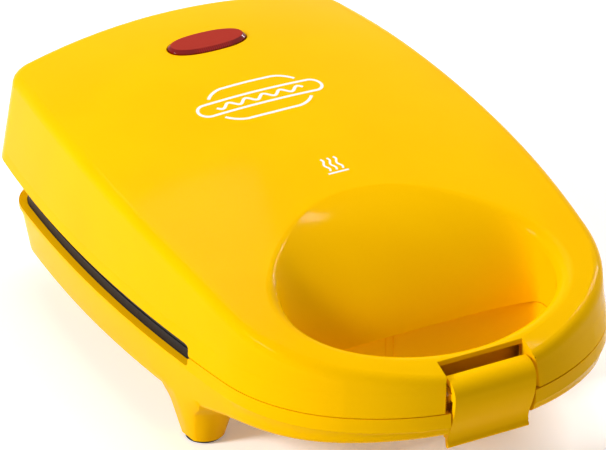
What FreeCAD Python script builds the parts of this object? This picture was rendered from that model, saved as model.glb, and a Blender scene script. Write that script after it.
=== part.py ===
import FreeCAD
import Part
import math
import os

# Hot dog toaster: a clamshell of two moulded halves that hinge at the rear, with a cooking plate in each
# half, a ring grip at the nose and a sprung clip that holds the halves shut. Millimetres.
#
# The pieces are modelled with y = 0 at the nose of the seam, y growing towards the hinge, x = 0 on the
# middle plane, and z = 0 on the seam between the halves. The last step moves them so that the origin is the
# middle of the footprint, on the surface that the pads stand on.

# --- Plan outline of the seam, as tangent arcs from the nose to the rear --------------------------------
HALF_WIDTH = 90.0            # at the widest place
WIDEST_Y = 156.0             # where the flanks are widest
NOSE_R = HALF_WIDTH + 5.0    # arc across the nose
CORNER_R = HALF_WIDTH - 21.0  # arc from the nose into the flank
FLANK_R = 690.0              # long flat arc of each flank
REAR_R = 400.0               # gently bowed rear
LID_LENGTH = 287.0           # nose to rear of the lid's lower edge
LID_REAR_CORNER_R = 18.0
LID_REAR_LEAN = 0.195        # extra forward lean of the lid's rear wall per mm of height
REAR_SETBACK = 21.0          # the base is shorter, so that the lid can swing down behind it
BASE_LENGTH = LID_LENGTH - REAR_SETBACK
BASE_REAR_CORNER_R = 23.0
LID_PLAN = (LID_LENGTH, LID_REAR_CORNER_R)
BASE_PLAN = (BASE_LENGTH, BASE_REAR_CORNER_R)

# --- Housings -------------------------------------------------------------------------------------------
WALL = 2.4                   # moulded wall
SEAM_HEIGHT = 46.0           # seam above the surface that the pads stand on
SLOT_START = 90.0            # the side slots run from here to the rear
LID_SLOT_Z = 4.4             # lower edge of the lid along the slots
BASE_SLOT_Z = -4.6           # upper edge of the base along the slots
SLOT_CORNER_R = 2.0
SEAM_GAP = 0.3               # between the halves in front of the slots

LID_LIP_TOP = 9.4            # the lid's wall stands out in a lip below this height
LID_LIP_IN = 1.5             # how far the wall is set back above the lip
LID_DRAFT = 0.086            # inward lean of the lid's wall per mm of height
LID_REACH = 75.0             # height to which the tapered wall is drawn before the crown cuts it
CROWN_LINE = [               # (y, height of the crown on the middle plane, fall at the flank)
    (-16.0, 0.5, 1.2),
    (0.0, 11.2, 1.4),
    (8.0, 15.6, 1.8),
    (16.0, 18.4, 2.2),
    (30.0, 22.2, 2.6),
    (65.0, 30.3, 2.8),
    (100.0, 37.9, 4.0),
    (150.0, 46.0, 6.2),
    (200.0, 51.8, 8.8),
    (232.0, 54.2, 11.0),
    (255.0, 54.2, 12.0),
    (276.0, 52.8, 12.0),
    (300.0, 49.5, 12.0),
]
CROWN_STATIONS = 22
SHOULDER_ROUND = 5.0         # rounding between the lid's wall and its crown

BASE_LIP_Z = -6.2            # the base's wall stands out in a thin lip above this height
BASE_LIP_IN = 0.9
BASE_DRAFT = 0.18            # inward lean of the base's wall per mm of depth
BASE_REACH = -46.0           # depth to which the tapered wall is drawn before the underside cuts it
UNDERSIDE = [                # (y, height) of the underside from the nose to the rear
    (-6.0, -9.6),
    (14.0, -12.4),
    (40.0, -15.2),
    (64.0, -17.6),
    (84.0, -22.8),
    (104.0, -26.2),
    (135.0, -27.5),
    (170.0, -28.2),
    (205.0, -28.4),
]
UNDERSIDE_ROUND = 4.0

# --- Finger opening through both halves of the ring grip ------------------------------------------------
GRIP_FRONT = 19.5            # front edge of the opening
GRIP_MID = 58.0              # where it is widest
SCOOP = [                    # (height above the seam, rear edge, half width, squareness of the rear half)
    (0.0, 64.5, 57.0, 3.2),
    (10.0, 70.5, 57.3, 3.0),
    (20.0, 80.0, 57.8, 2.8),
    (30.0, 93.0, 58.6, 2.6),
    (38.0, 108.0, 59.8, 2.5),
    (46.0, 134.0, 62.5, 2.4),
]
SCOOP_TOP_Z = 62.0           # the scoop is drawn on above the crown: height, reach rearward and sideward
SCOOP_TOP_REAR = 60.0
SCOOP_TOP_SIDE = 8.0
SCOOP_EDGE_ROUND = 6.0
GRIP_DRAFT = 0.03            # the opening's wall leans in below the seam
GRIP_SETBACK = 1.5           # the base's rear wall stands this far behind the lid's edge
GRIP_RIBS = (-10.8, -7.4)    # x of the two thin ribs on the base's rear wall
GRIP_RIB_W = 0.9
GRIP_RIB_PROUD = 0.6

# --- Cooking plates -------------------------------------------------------------------------------------
PLATE_GAP = 0.4              # each plate's face stands this far from the seam
PLATE_T = 2.4                # die-cast thickness
PLATE_INSET = 3.8            # rim of the plates inside the seam outline
PLATE_FRONT = 72.0
PLATE_CORNER_R = 16.0
PLATE_SKIRT = 6.4            # the rim reaches this far from the seam
SKIRT_T = 2.4
SHELF_CLEAR = 0.2            # under the skirt
SHELF_T = 2.2
SHELF_INSET = 6.6            # inner edge of the shelf that carries the skirt
SHELF_FRONT_RIM = 4.0        # the shelf reaches this far in front of the plates
LEDGE_INSET = 3.5            # inner edge of the base's open ledge along the slots
TROUGH_R = 12.0              # a hot dog of 24 mm
TROUGH_PITCH = 38.0
TROUGH_COUNT = 4
TROUGH_START = 96.0          # centres of the rounded ends
TROUGH_END = BASE_LENGTH - 25.0

# --- Heating --------------------------------------------------------------------------------------------
ELEMENT_R = 3.3
ELEMENT_BEND = 12.0
ELEMENT_FRONT = 78.3         # centre line of the cross leg
ELEMENT_REAR = BASE_LENGTH - 20.0
PIN_R = 1.2
PIN_LENGTH = 7.0
CLIP_T = 0.8
CLIP_LENGTH = 9.0
CLIP_CLEAR = 0.1
CLIP_FRONT = TROUGH_START + 16.0
CLIP_REAR = TROUGH_END - 17.0
CLIP_PLACES = (CLIP_FRONT, (CLIP_FRONT + CLIP_REAR) / 2, CLIP_REAR)
SHIELD_T = 0.6
SHIELD_HALF = HALF_WIDTH - 14.0
SHIELD_FRONT = 86.0
SHIELD_REAR = BASE_LENGTH - 26.0
SHIELD_CORNER_R = 12.0
SHIELD_Z_LOWER = -18.2
SHIELD_Z_UPPER = 24.0
SHIELD_HOLE_CLEAR = 0.3
SHIELD_SCOOP_CLEAR = 1.0     # between the upper shield and the scoop's wall

# --- Plate screws and their bosses ----------------------------------------------------------------------
SCREW_PLACES = (100.0, BASE_LENGTH - 54.0)
SCREW_R = 1.9
SCREW_HEAD_R = 3.6
SCREW_HEAD_H = 2.0
SCREW_LENGTH = 12.0
SCREW_TIP_ROOM = 1.5         # the pilot hole is deeper than the screw
CROSS_HALF = 2.0             # cross recess of the head
CROSS_W = 0.8
CROSS_DEPTH = 1.0
BOSS_R = 3.7
BOSS_COLLAR_R = 6.5
BOSS_CLEAR = 0.2             # between a boss and the plate's back
SCREW_CLEAR = 0.1

# --- Feet -----------------------------------------------------------------------------------------------
FOOT_FRONT = (72.8, 103.5)   # (x, y) of the front feet
FOOT_REAR = (50.0, BASE_LENGTH - 38.0)  # the rear feet stand closer together
FOOT_TIP_Z = -44.5
FOOT_TIP_R = 8.6
FOOT_NECK = (12.2, -33.0)    # (radius, height) where the straight taper ends
FOOT_ROOT = [                # (radius, height) up the flared root
    (14.0, -28.8),
    (16.8, -25.6),
    (18.4, -22.6),
    (18.6, -20.0),
]
PAD_R = 7.4
PAD_ROUND = 0.5
PAD_SINK = 1.2
PAD_CLEAR = 0.15

# --- Rear hinge -----------------------------------------------------------------------------------------
HINGE_Y = BASE_LENGTH + 4.0
HINGE_Z = -3.0
HINGE_X = 44.0               # middle of each hinge
KNUCKLE_R = 4.8
LID_KNUCKLE_W = 11.0
BASE_KNUCKLE_W = 4.5
KNUCKLE_GAP = 0.35
LUG_ROOT = 4.6               # the lugs start this far inside the base's rear edge
HINGE_PIN_R = 2.0
HINGE_PIN_CLEAR = 0.05
PIN_HEAD_R = 3.4
PIN_HEAD_T = 1.2

# --- Clip at the nose -----------------------------------------------------------------------------------
CLIP_HALF = 18.2             # half the clip's width
CLIP_SIDE_GAP = 0.8
CLIP_AXIS_Y = 7.2
CLIP_AXIS_Z = 6.0
CLIP_TOP_R = 6.9             # outer radius of the clip's rolled top
CLIP_TOP_END = 76.0          # degrees above the horizontal at which the rolled top ends
CLIP_WALL = 2.3
CLIP_BARREL_R = 3.2
CLIP_WEB_T = 3.0
CLIP_PIN_R = 1.5
CLIP_PIN_CLEAR = 0.05
RECESS_REAR = 12.9           # rear edge of the clip's pocket in the lid
CHEEK_Y = 5.6                # the pocket's cheeks flare outward in front of this
CHEEK_FLARE = 4.2            # by this much where they reach y = 0
CLIP_FACE = [                # (y, z) of the clip's outer face, from the rolled top down to the tip
    (0.3, 6.0),
    (0.4, 3.0),
    (1.2, -1.2),
    (3.2, -6.8),
    (5.0, -11.2),
    (5.5, -14.0),
    (5.1, -16.2),
]
CLIP_TIP_RUN = (-0.35, -0.94)  # direction in which the face runs out at the tip
CATCH_Y = 9.6                # front face of the base's nose behind the clip
CATCH_CLEAR = 0.5            # the hook clears the nose by this much when the clip is released
HOOK_DROP = 0.7              # below the nose's underside
HOOK_T = 1.6

# --- Lamp -----------------------------------------------------------------------------------------------
LENS_Y = LID_LENGTH - 56.0
LENS_HALF_X = 17.6
LENS_HALF_Y = 10.4
LENS_SQUARENESS = 2.3
LENS_PROUD = 2.2
LENS_BEVEL = 1.3
LENS_FLANGE = 1.6
LENS_FLANGE_T = 1.4
LENS_CLEAR = 0.25
LENS_T = 2.0
LENS_DEPTH = 12.0            # to which the oval is drawn down before the hollow trims it
LAMP_R = 3.0
LAMP_LENGTH = 13.0
LAMP_DROP = 12.0             # from the lens's face down to the lamp's axis
HOLDER_T = 1.5
HOLDER_DEPTH = 10.0
HOLDER_EAR = 3.0
HOLDER_EAR_T = 3.0
RESISTOR_R = 1.7
RESISTOR_LENGTH = 9.0
LEAD_R = 0.4
LEAD_LENGTH = 3.0            # of the lamp's and the resistor's leads
ROD_ROUND = 0.35             # rounding of their ends, as a share of the radius

# --- Cord inlet -----------------------------------------------------------------------------------------
GLAND_Z = -15.0
GLAND_R = 4.8
GLAND_BORE_R = 3.0
GLAND_FLANGE_R = 6.8
GLAND_RING_R = 5.9           # the ring that holds the gland from inside
GLAND_LENGTH = 8.0
GLAND_CLEAR = 0.05

# --- Thermostat and fuse on the upper plate, terminals in the base --------------------------------------
THERMOSTAT_Y = BASE_LENGTH - 108.0
THERMOSTAT_R = 8.0
THERMOSTAT_H = 5.0
THERMOSTAT_EAR = 24.0        # span of its two-eared bracket
THERMOSTAT_RIM = 0.6         # the crimped rim stands out by this much
THERMOSTAT_RIM_H = 2.0
BRACKET_T = 0.8
BRACKET_HALF_W = 3.5
TAB_X = 4.5                  # push-on tabs: place, half width, thickness and height
TAB_Y = 2.0
TAB_HALF_W = 1.6
TAB_T = 0.8
TAB_ROOT = 0.5
TAB_REACH = 2.4
PAD_LAND_Z = 14.8            # top of the cast land that carries the thermostat
FUSE_Y = BASE_LENGTH - 80.0
FUSE_R = 2.6
FUSE_LENGTH = 16.0
FUSE_ROUND = 0.6
FUSE_LEAD = 5.0
TERMINAL_X = 30.0
TERMINAL_Y = BASE_LENGTH - 18.5
TERMINAL_W = 30.0
TERMINAL_D = 10.0
TERMINAL_H = 6.0
TERMINAL_WAYS = 3
TERMINAL_BORE_R = 1.9
TERMINAL_SCREW_R = 1.6
TERMINAL_SLIT = 1.2          # between the ways
TERMINAL_SLIT_FLOOR = 3.6

SEAT_CLEAR = 0.05            # between pieces that lie on one another
CUT = 200.0                  # half size of the blocks that trim


def vec(x, y, z):
    """A point or direction."""
    return FreeCAD.Vector(x, y, z)


def block(x0, x1, y0, y1, z0, z1):
    """A box from its low and high corners."""
    return Part.makeBox(x1 - x0, y1 - y0, z1 - z0, vec(x0, y0, z0))


def fused(shapes):
    """One shape from several that touch."""
    whole = shapes[0]
    for shape in shapes[1:]:
        whole = whole.fuse(shape)
    return whole.removeSplitter()


def flipped(shape):
    """A lower piece turned into the upper piece of the same form."""
    return shape.mirror(vec(0, 0, 0), vec(0, 0, 1))


# --- Plan outline ---------------------------------------------------------------------------------------

def tangent_centre(a, reach_a, b, reach_b, rearward):
    """Centre of an arc that touches two others from inside, the rear or the front one of the two."""
    dx, dy = b[0] - a[0], b[1] - a[1]
    gap = math.hypot(dx, dy)
    along = (reach_a ** 2 - reach_b ** 2 + gap ** 2) / (2 * gap)
    off = math.sqrt(reach_a ** 2 - along ** 2)
    foot = (a[0] + dx * along / gap, a[1] + dy * along / gap)
    options = [(foot[0] + s * dy * off / gap, foot[1] - s * dx * off / gap) for s in (1, -1)]
    options.sort(key=lambda point: point[1])
    return options[1] if rearward else options[0]


def outline_arcs(length, rear_corner_r):
    """The right half of the outline as (centre, radius, start angle, end angle), nose to rear."""
    nose = (0.0, NOSE_R)
    flank = (HALF_WIDTH - FLANK_R, WIDEST_Y)
    rear = (0.0, length - REAR_R)
    corner = tangent_centre(nose, NOSE_R - CORNER_R, flank, FLANK_R - CORNER_R, False)
    rear_corner = tangent_centre(flank, FLANK_R - rear_corner_r, rear, REAR_R - rear_corner_r, True)

    def heading(start, end):
        return math.atan2(end[1] - start[1], end[0] - start[0])

    turns = [-math.pi / 2, heading(nose, corner), heading(flank, corner), heading(flank, rear_corner),
             heading(rear, rear_corner), math.pi / 2]
    centres = [nose, corner, flank, rear_corner, rear]
    radii = [NOSE_R, CORNER_R, FLANK_R, rear_corner_r, REAR_R]
    return list(zip(centres, radii, turns[:-1], turns[1:]))


def outline_wire(inset, z, plan):
    """The closed plan outline at height z, set in by inset. A plan is a length and a rear corner radius."""
    right = []
    for (cx, cy), radius, start, end in outline_arcs(*plan):
        r = radius - inset
        angles = (start, (start + end) / 2, end)
        right.append([vec(cx + r * math.cos(a), cy + r * math.sin(a), z) for a in angles])
    left = [[vec(-p.x, p.y, p.z) for p in reversed(points)] for points in reversed(right)]
    edges = [Part.Arc(*points).toShape() for points in right + left]
    return Part.Wire(edges)


def tapered(levels):
    """A solid through the outline at each (height, inset, plan)."""
    return Part.makeLoft([outline_wire(inset, z, plan) for z, inset, plan in levels], True, True)


def plan_slab(inset, z0, z1, plan):
    """An upright slab of the outline."""
    face = Part.Face(outline_wire(inset, z0, plan))
    return face.extrude(vec(0, 0, z1 - z0))


# --- Lid ------------------------------------------------------------------------------------------------

def height_at(curve, y):
    """Height at y of a curve that runs rearward."""
    low, high = curve.FirstParameter, curve.LastParameter
    for _ in range(40):
        middle = (low + high) / 2
        if curve.value(middle).y < y:
            low = middle
        else:
            high = middle
    return curve.value(low).z


def crown_curve(drop):
    """The crown on the middle plane, lowered by drop, with its fall at the flank as the x of each point."""
    curve = Part.BSplineCurve()
    curve.interpolate(Points=[vec(fall, y, height - drop) for y, height, fall in CROWN_LINE])
    return curve


def crown_block(drop):
    """Everything under the lid's crowned top, lowered by drop."""
    curve = crown_curve(drop)
    rows = []
    for station in range(CROWN_STATIONS + 1):
        share = station / CROWN_STATIONS
        on_line = curve.value(curve.FirstParameter + (curve.LastParameter - curve.FirstParameter) * share)
        row = []
        for step in range(-4, 5):
            x = (HALF_WIDTH + 20.0) * step / 4
            row.append(vec(x, on_line.y, on_line.z - on_line.x * (x / HALF_WIDTH) ** 2))
        rows.append(row)
    surface = Part.BSplineSurface()
    surface.interpolate(rows)
    return surface.toShape().extrude(vec(0, 0, -CUT))


def lid_form(offset, z0):
    """The lid's outer form, or its hollow when set in by offset."""
    rise = LID_REACH - LID_LIP_TOP
    top_plan = (LID_LENGTH - LID_REAR_LEAN * rise, LID_REAR_CORNER_R)
    levels = [
        (z0, offset, LID_PLAN),
        (LID_LIP_TOP, LID_LIP_IN + offset, LID_PLAN),
        (LID_REACH, LID_LIP_IN + LID_DRAFT * rise + offset, top_plan),
    ]
    form = tapered(levels).common(crown_block(offset))
    shoulder = [edge for edge in form.Edges if isinstance(edge.Curve, Part.BSplineCurve)]
    return form.makeFillet(SHOULDER_ROUND - offset, shoulder)


def scoop_points(z, rear, half, squareness, grow, steps=8):
    """One level of the finger opening: a half ellipse in front, a squarer half behind."""
    points = []
    front_reach = GRIP_MID - GRIP_FRONT + grow
    rear_reach = rear - GRIP_MID + grow
    for index in range(4 * steps):
        angle = -math.pi / 2 + index * math.pi / (2 * steps)
        c, s = math.cos(angle), math.sin(angle)
        power = 2.0 if s <= 0 else 2.0 + (squareness - 2.0) * min(1.0, abs(s) * 4)
        size = (abs(c) ** power + abs(s) ** power) ** (-1.0 / power)
        reach = rear_reach if s > 0 else front_reach
        points.append(vec((half + grow) * c * size, GRIP_MID + reach * s * size, z))
    return points


def scoop_section(z, rear, half, squareness, grow):
    """One level of the opening as a single closed curve."""
    curve = Part.BSplineCurve()
    curve.interpolate(Points=scoop_points(z, rear, half, squareness, grow), PeriodicFlag=True)
    return Part.Wire([curve.toShape()])


def scoop_block(grow):
    """The finger opening of the lid, which widens upwards into the sloping scoop."""
    _, top_rear, top_half, top_square = SCOOP[-1]
    below = (-1.0,) + SCOOP[0][1:]
    above = (SCOOP_TOP_Z, top_rear + SCOOP_TOP_REAR, top_half + SCOOP_TOP_SIDE, top_square)
    wires = [scoop_section(*level, grow) for level in [below] + SCOOP[1:] + [above]]
    return Part.makeLoft(wires, True, False)


def clip_recess():
    """The pocket in the lid's nose that holds the clip."""
    side = CLIP_HALF + CLIP_SIDE_GAP
    return block(-side, side, -CUT, RECESS_REAR, -CUT, CUT)


def clip_cheeks():
    """The outward flare at the front of the pocket's cheeks."""
    side = CLIP_HALF + CLIP_SIDE_GAP
    flares = []
    for way in (-1, 1):
        corners = [vec(way * side, CHEEK_Y, 0), vec(way * (side + CHEEK_FLARE), 0, 0),
                   vec(way * (side + CHEEK_FLARE), -CUT, 0), vec(way * side, -CUT, 0)]
        flares.append(Part.Face(Part.makePolygon(corners + corners[:1])).extrude(vec(0, 0, CUT)))
    return flares


def pocket_walls():
    """Side walls of the clip's pocket. Its rear is open under the ring's roof."""
    side = CLIP_HALF + CLIP_SIDE_GAP
    walls = [block(side, side + WALL, -CUT, RECESS_REAR + WALL, -CUT, CUT)]
    walls.append(block(-side - WALL, -side, -CUT, RECESS_REAR + WALL, -CUT, CUT))
    return walls


def slot_cut(level):
    """One half's share of the side slots, with both corners of their front end rounded."""
    way = 1 if level > 0 else -1
    r, y0, top = SLOT_CORNER_R, SLOT_START, abs(level)
    lean = r * math.sqrt(0.5)

    def at(y, z):
        return vec(-CUT, y, z * way)

    face = Part.Face(Part.Wire([
        Part.LineSegment(at(y0 - r, -1), at(y0 - r, 0)).toShape(),
        Part.Arc(at(y0 - r, 0), at(y0 - r + lean, r - lean), at(y0, r)).toShape(),
        Part.LineSegment(at(y0, r), at(y0, top - r)).toShape(),
        Part.Arc(at(y0, top - r), at(y0 + r - lean, top - r + lean), at(y0 + r, top)).toShape(),
        Part.LineSegment(at(y0 + r, top), at(CUT * 2, top)).toShape(),
        Part.LineSegment(at(CUT * 2, top), at(CUT * 2, -1)).toShape(),
        Part.LineSegment(at(CUT * 2, -1), at(y0 - r, -1)).toShape(),
    ]))
    return face.extrude(vec(2 * CUT, 0, 0))


def plate_outline_face(inset, front, z):
    """Face inside the seam outline of the base, cut straight at the front, with rounded front corners."""
    whole = Part.Face(outline_wire(inset, z, BASE_PLAN))
    kept = whole.common(Part.makePlane(2 * CUT, CUT * 2, vec(-CUT, front, z)))
    slab = kept.extrude(vec(0, 0, 1))
    corners = [e for e in slab.Edges if e.BoundBox.ZLength > 0.9 and abs(e.BoundBox.YMin - front) < 0.01]
    slab = slab.makeFillet(max(PLATE_CORNER_R - inset + PLATE_INSET, 3.0), corners)
    return [f for f in slab.Faces if abs(f.BoundBox.ZMax - z) < 1e-6 and abs(f.BoundBox.ZMin - z) < 1e-6][0]


def shelf_opening(z0, z1):
    """Upright block inside the shelf's inner edge."""
    face = plate_outline_face(SHELF_INSET, PLATE_FRONT + SKIRT_T, z0)
    return face.extrude(vec(0, 0, z1 - z0))


def plate_area(grow, z0, z1):
    """Upright block of the plates' plan, grown by grow."""
    face = plate_outline_face(PLATE_INSET - grow, PLATE_FRONT - grow, z0)
    return face.extrude(vec(0, 0, z1 - z0))


def boss(y, z_tip, z_root, collar_z):
    """A screw boss on the middle plane: a post with a wider collar that carries the heat shield."""
    post = Part.makeCylinder(BOSS_R, abs(z_root - z_tip), vec(0, y, min(z_tip, z_root)))
    collar = Part.makeCylinder(BOSS_COLLAR_R, abs(z_root - collar_z), vec(0, y, min(collar_z, z_root)))
    return post.fuse(collar)


def screw_hole(y, z_tip, depth):
    """The pilot hole in a boss, from its tip."""
    inward = vec(0, 0, 1 if z_tip > 0 else -1)
    return Part.makeCylinder(SCREW_R + SCREW_CLEAR, depth, vec(0, y, z_tip), inward)


def lens_wire(grow, z):
    """The oval of the lamp's lens."""
    steps = 7
    points = []
    for index in range(4 * steps):
        angle = index * math.pi / (2 * steps)
        c, s = math.cos(angle), math.sin(angle)
        size = (abs(c) ** LENS_SQUARENESS + abs(s) ** LENS_SQUARENESS) ** (-1.0 / LENS_SQUARENESS)
        points.append(vec((LENS_HALF_X + grow) * c * size, LENS_Y + (LENS_HALF_Y + grow) * s * size, z))
    curve = Part.BSplineCurve()
    curve.interpolate(Points=points, PeriodicFlag=True)
    return Part.Wire([curve.toShape()])


def crown_height(y):
    """Height of the crown on the middle plane."""
    return height_at(crown_curve(0.0), y)


def lens_top():
    """Height of the lens's flat face."""
    return crown_height(LENS_Y) + LENS_PROUD


def upper_shell():
    """Upper moulded housing."""
    outer = lid_form(0.0, SEAM_GAP / 2).cut(scoop_block(0.0))
    rim = [edge for edge in outer.Edges if scoop_rim(edge)]
    outer = outer.makeFillet(SCOOP_EDGE_ROUND, rim)
    outer = outer.cut(clip_recess()).cut(clip_cheeks()).cut(slot_cut(LID_SLOT_Z))
    hollow = lid_form(WALL, -1.0).cut(scoop_block(WALL)).cut(pocket_walls())
    shell = outer.cut(hollow)

    shelf_z = PLATE_SKIRT + SHELF_CLEAR
    shelf = plan_slab(WALL / 2, shelf_z, shelf_z + SHELF_T, LID_PLAN)
    behind = block(-CUT, CUT, PLATE_FRONT - SHELF_FRONT_RIM, CUT * 2, 0, CUT)
    shelf = shelf.common(behind).common(lid_form(WALL / 2, 0.0))
    shelf = shelf.cut(shelf_opening(0.0, CUT)).cut(scoop_block(WALL / 2))
    room = lid_form(WALL / 2, 0.0).cut(scoop_block(WALL / 2))
    tip = PLATE_GAP + PLATE_T + BOSS_CLEAR
    bosses = [boss(y, tip, CUT, SHIELD_Z_UPPER + SHIELD_T).common(room) for y in SCREW_PLACES]
    shell = fused([shell, shelf] + bosses + lid_knuckles())
    for y in SCREW_PLACES:
        shell = shell.cut(screw_hole(y, PLATE_GAP + PLATE_T, SCREW_LENGTH + SCREW_TIP_ROOM))
    shell = shell.cut(clip_pin(0.0))
    return shell.cut(Part.Face(lens_wire(LENS_CLEAR, SHIELD_Z_UPPER)).extrude(vec(0, 0, CUT)))


def scoop_rim(edge):
    """Whether an edge is where the scoop's wall breaks the crown."""
    box = edge.BoundBox
    return box.YMin > GRIP_FRONT - 1.0 and box.YMax < SCOOP[-1][1] and box.YLength > 40.0 and box.ZMin > 8.0


def lid_knuckles():
    """The lid's hinge knuckles, which hang from the shelf between the base's lugs."""
    top = PLATE_SKIRT + SHELF_CLEAR + SHELF_T / 2
    knuckles = []
    for side in (-1, 1):
        x0 = side * HINGE_X - LID_KNUCKLE_W / 2
        end, along = vec(x0, HINGE_Y, HINGE_Z), vec(1, 0, 0)
        barrel = Part.makeCylinder(KNUCKLE_R, LID_KNUCKLE_W, end, along)
        arm = block(x0, x0 + LID_KNUCKLE_W, HINGE_Y - KNUCKLE_R, HINGE_Y + KNUCKLE_R, HINGE_Z, top)
        bore = Part.makeCylinder(HINGE_PIN_R + HINGE_PIN_CLEAR, LID_KNUCKLE_W, end, along)
        knuckles.append(barrel.fuse(arm).cut(bore))
    return knuckles


# --- Base -----------------------------------------------------------------------------------------------

def underside_curve(lift):
    """The side view of the underside as a smooth curve that ends level."""
    points = [vec(0, y, z + lift) for y, z in UNDERSIDE]
    curve = Part.BSplineCurve()
    first = points[1].sub(points[0]).normalize()
    curve.interpolate(Points=points, InitialTangent=first, FinalTangent=vec(0, 1, 0))
    return curve


def underside_height(y):
    """Height of the underside at y."""
    return height_at(underside_curve(0.0), y)


def underside_block(lift):
    """Everything above the underside, raised by lift."""
    curve = underside_curve(lift)
    start, end = vec(0, *UNDERSIDE[0]), vec(0, *UNDERSIDE[-1])
    start.z += lift
    end.z += lift
    corners = [end, vec(0, CUT * 2, end.z), vec(0, CUT * 2, CUT), vec(0, start.y, CUT), start]
    lines = [Part.LineSegment(a, b).toShape() for a, b in zip(corners[:-1], corners[1:])]
    face = Part.Face(Part.Wire([curve.toShape()] + lines))
    solid = face.extrude(vec(2 * CUT, 0, 0))
    solid.translate(vec(-CUT, 0, 0))
    return solid


def base_taper(offset, z0):
    """The base's wall drawn down to its full reach."""
    below_lip = BASE_LIP_Z - BASE_LIP_IN
    at_reach = BASE_LIP_IN + BASE_DRAFT * (below_lip - BASE_REACH)
    insets = [(z0, 0.0), (BASE_LIP_Z, 0.0), (below_lip, BASE_LIP_IN), (BASE_REACH, at_reach)]
    return tapered([(z, inset + offset, BASE_PLAN) for z, inset in insets])


def base_form(offset, z0):
    """The base's outer form, or its hollow when set in by offset."""
    form = base_taper(offset, z0).common(underside_block(offset))
    bottom = [edge for edge in form.Edges if underside_edge(edge)]
    return form.makeFillet(UNDERSIDE_ROUND - offset, bottom)


def underside_edge(edge):
    """Whether an edge is where the base's wall meets its underside."""
    box = edge.BoundBox
    upright = isinstance(edge.Curve, (Part.BezierCurve, Part.Line)) and box.ZLength > 4.0
    long_enough = max(box.XLength, box.YLength) > 2.0
    return box.ZMax < BASE_LIP_Z - 2.0 and long_enough and not upright and not level_across(edge)


def level_across(edge):
    """Whether an edge runs straight across the underside."""
    box = edge.BoundBox
    return abs(box.XMin + box.XMax) < 1.0 and box.YLength < 0.01


def grip_section(z, grow):
    """One level of the opening below the seam, in four quarters."""
    _, rear, half, square = SCOOP[0]
    steps = 8
    points = scoop_points(z, rear + GRIP_SETBACK, half, square, grow, steps)
    headings = [vec(1, 0, 0), vec(0, 1, 0), vec(-1, 0, 0), vec(0, -1, 0), vec(1, 0, 0)]
    edges = []
    for quarter in range(4):
        curve = Part.BSplineCurve()
        span = (points + points[:1])[quarter * steps:(quarter + 1) * steps + 1]
        curve.interpolate(Points=span, InitialTangent=headings[quarter], FinalTangent=headings[quarter + 1])
        edges.append(curve.toShape())
    return Part.Wire(edges)


def grip_block(grow):
    """The finger opening below the seam."""
    top, bottom = 1.0, BASE_REACH
    sections = [grip_section(top, grow), grip_section(bottom, grow + GRIP_DRAFT * bottom)]
    return Part.makeLoft(sections, True, True)


def grip_ribs():
    """Thin ribs down the opening's rear wall."""
    rear, half = SCOOP[0][1] + GRIP_SETBACK, GRIP_RIB_W / 2
    return [block(x - half, x + half, rear - GRIP_RIB_PROUD, rear + WALL / 2, BASE_REACH, -SEAM_GAP / 2)
            for x in GRIP_RIBS]


def foot_post(x, y, grow):
    """A foot's tapered post with its flared root."""
    flare = Part.BSplineCurve()
    slope = (FOOT_NECK[0] - FOOT_TIP_R) / (FOOT_NECK[1] - FOOT_TIP_Z)
    flare.interpolate(Points=[vec(r + grow, 0, z) for r, z in [FOOT_NECK] + FOOT_ROOT],
                      InitialTangent=vec(slope, 0, 1), FinalTangent=vec(0, 0, 1))
    root_r, root_z = FOOT_ROOT[-1]
    corners = [vec(root_r + grow, 0, root_z), vec(0, 0, root_z), vec(0, 0, FOOT_TIP_Z),
               vec(FOOT_TIP_R + grow, 0, FOOT_TIP_Z), vec(FOOT_NECK[0] + grow, 0, FOOT_NECK[1])]
    lines = [Part.LineSegment(a, b).toShape() for a, b in zip(corners[:-1], corners[1:])]
    face = Part.Face(Part.Wire([flare.toShape()] + lines))
    post = face.revolve(vec(0, 0, 0), vec(0, 0, 1), 360)
    post.translate(vec(x, y, 0))
    return post


def foot_places():
    """(x, y) of the four feet."""
    return [(side * x, y) for side in (-1, 1) for x, y in (FOOT_FRONT, FOOT_REAR)]


def base_lugs():
    """The base's hinge lugs, a pair round each of the lid's knuckles."""
    lugs = []
    for side in (-1, 1):
        for edge in (-1, 1):
            inner = side * HINGE_X + edge * (LID_KNUCKLE_W / 2 + KNUCKLE_GAP)
            x0 = min(inner, inner + edge * BASE_KNUCKLE_W)
            end, along = vec(x0, HINGE_Y, HINGE_Z), vec(1, 0, 0)
            barrel = Part.makeCylinder(KNUCKLE_R, BASE_KNUCKLE_W, end, along)
            root = BASE_LENGTH - LUG_ROOT
            arm = block(x0, x0 + BASE_KNUCKLE_W, root, HINGE_Y, HINGE_Z - KNUCKLE_R, BASE_SLOT_Z)
            bore = Part.makeCylinder(HINGE_PIN_R, BASE_KNUCKLE_W, end, along)
            lugs.append(barrel.fuse(arm).cut(bore))
    return lugs


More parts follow.
